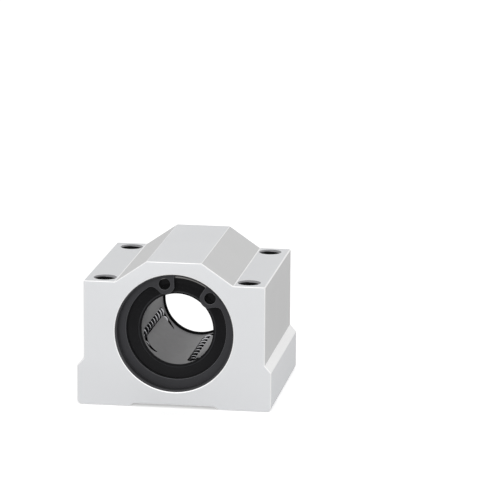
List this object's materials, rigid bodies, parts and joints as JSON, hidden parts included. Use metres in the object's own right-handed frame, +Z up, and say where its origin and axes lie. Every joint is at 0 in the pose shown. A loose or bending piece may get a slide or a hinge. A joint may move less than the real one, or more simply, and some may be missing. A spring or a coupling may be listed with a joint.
{
  "type": "linear bearing block",
  "caption": "Aluminium pillow block that carries a closed linear ball bearing for a round shaft, held by circlips, with mounting holes through its shoulders.",
  "frame": {"origin": "centre of the underside, where the block rests", "axes": "+X across the block, +Y along the shaft bore from front to rear, +Z up"},
  "size_m": [0.054, 0.05, 0.041],
  "materials": {
    "housing": "sand-blasted and clear anodised, pale silver",
    "circlip": "dark grey phosphated spring steel",
    "sleeve": "ground bearing steel",
    "cage": "smooth satin grey",
    "side_ring": "plain spring steel",
    "seal": "moulded black rubber",
    "ball": "polished bearing steel"
  },
  "bodies": {
    "block": {"housing": "housing", "front_circlip": "circlip", "rear_circlip": "circlip", "bearing_sleeve": "sleeve", "ball_cage": "cage", "front_side_ring": "side_ring", "rear_side_ring": "side_ring", "front_seal": "seal", "rear_seal": "seal"},
    "loaded_row_1": {"loaded_row_1": "ball"},
    "return_row_1": {"return_row_1": "ball"},
    "front_turn_1": {"front_turn_1": "ball"},
    "rear_turn_1": {"rear_turn_1": "ball"},
    "loaded_row_2": {"loaded_row_2": "ball"},
    "return_row_2": {"return_row_2": "ball"},
    "front_turn_2": {"front_turn_2": "ball"},
    "rear_turn_2": {"rear_turn_2": "ball"},
    "loaded_row_3": {"loaded_row_3": "ball"},
    "return_row_3": {"return_row_3": "ball"},
    "front_turn_3": {"front_turn_3": "ball"},
    "rear_turn_3": {"rear_turn_3": "ball"},
    "loaded_row_4": {"loaded_row_4": "ball"},
    "return_row_4": {"return_row_4": "ball"},
    "front_turn_4": {"front_turn_4": "ball"},
    "rear_turn_4": {"rear_turn_4": "ball"}
  },
  "joints": [
    {"name": "loaded_row_1_slide", "type": "slide", "parent": "block", "child": "loaded_row_1", "axis": [0, 1, 0], "range_m": [-0.0017, 0.0017]},
    {"name": "return_row_1_slide", "type": "slide", "parent": "block", "child": "return_row_1", "axis": [0, 1, 0], "range_m": [-0.0017, 0.0017]},
    {"name": "front_turn_1_hinge", "type": "hinge", "parent": "block", "child": "front_turn_1", "pos_m": [-0.01014, -0.01191, 0.01471], "axis": [-0.9518, 0, -0.3068], "range_deg": [-30, 30]},
    {"name": "rear_turn_1_hinge", "type": "hinge", "parent": "block", "child": "rear_turn_1", "pos_m": [-0.01014, 0.01191, 0.01471], "axis": [-0.9518, 0, -0.3068], "range_deg": [-30, 30]},
    {"name": "loaded_row_2_slide", "type": "slide", "parent": "block", "child": "loaded_row_2", "axis": [0, 1, 0], "range_m": [-0.0017, 0.0017]},
    {"name": "return_row_2_slide", "type": "slide", "parent": "block", "child": "return_row_2", "axis": [0, 1, 0], "range_m": [-0.0017, 0.0017]},
    {"name": "front_turn_2_hinge", "type": "hinge", "parent": "block", "child": "front_turn_2", "pos_m": [0.00629, -0.01191, 0.01086], "axis": [0.3068, 0, -0.9518], "range_deg": [-30, 30]},
    {"name": "rear_turn_2_hinge", "type": "hinge", "parent": "block", "child": "rear_turn_2", "pos_m": [0.00629, 0.01191, 0.01086], "axis": [0.3068, 0, -0.9518], "range_deg": [-30, 30]},
    {"name": "loaded_row_3_slide", "type": "slide", "parent": "block", "child": "loaded_row_3", "axis": [0, 1, 0], "range_m": [-0.0017, 0.0017]},
    {"name": "return_row_3_slide", "type": "slide", "parent": "block", "child": "return_row_3", "axis": [0, 1, 0], "range_m": [-0.0017, 0.0017]},
    {"name": "front_turn_3_hinge", "type": "hinge", "parent": "block", "child": "front_turn_3", "pos_m": [0.01014, -0.01191, 0.02729], "axis": [0.9518, 0, 0.3068], "range_deg": [-30, 30]},
    {"name": "rear_turn_3_hinge", "type": "hinge", "parent": "block", "child": "rear_turn_3", "pos_m": [0.01014, 0.01191, 0.02729], "axis": [0.9518, 0, 0.3068], "range_deg": [-30, 30]},
    {"name": "loaded_row_4_slide", "type": "slide", "parent": "block", "child": "loaded_row_4", "axis": [0, 1, 0], "range_m": [-0.0017, 0.0017]},
    {"name": "return_row_4_slide", "type": "slide", "parent": "block", "child": "return_row_4", "axis": [0, 1, 0], "range_m": [-0.0017, 0.0017]},
    {"name": "front_turn_4_hinge", "type": "hinge", "parent": "block", "child": "front_turn_4", "pos_m": [-0.00629, -0.01191, 0.03114], "axis": [-0.3068, 0, 0.9518], "range_deg": [-30, 30]},
    {"name": "rear_turn_4_hinge", "type": "hinge", "parent": "block", "child": "rear_turn_4", "pos_m": [-0.00629, 0.01191, 0.03114], "axis": [-0.3068, 0, 0.9518], "range_deg": [-30, 30]}
  ],
  "couplings": [
    {"joint": "return_row_1_slide", "follows": "loaded_row_1_slide", "ratio": -1},
    {"joint": "front_turn_1_hinge", "follows": "loaded_row_1_slide", "rad_per_m": 307.69},
    {"joint": "rear_turn_1_hinge", "follows": "loaded_row_1_slide", "rad_per_m": 307.69},
    {"joint": "return_row_2_slide", "follows": "loaded_row_2_slide", "ratio": -1},
    {"joint": "front_turn_2_hinge", "follows": "loaded_row_2_slide", "rad_per_m": 307.69},
    {"joint": "rear_turn_2_hinge", "follows": "loaded_row_2_slide", "rad_per_m": 307.69},
    {"joint": "return_row_3_slide", "follows": "loaded_row_3_slide", "ratio": -1},
    {"joint": "front_turn_3_hinge", "follows": "loaded_row_3_slide", "rad_per_m": 307.69},
    {"joint": "rear_turn_3_hinge", "follows": "loaded_row_3_slide", "rad_per_m": 307.69},
    {"joint": "return_row_4_slide", "follows": "loaded_row_4_slide", "ratio": -1},
    {"joint": "front_turn_4_hinge", "follows": "loaded_row_4_slide", "rad_per_m": 307.69},
    {"joint": "rear_turn_4_hinge", "follows": "loaded_row_4_slide", "rad_per_m": 307.69}
  ]
}
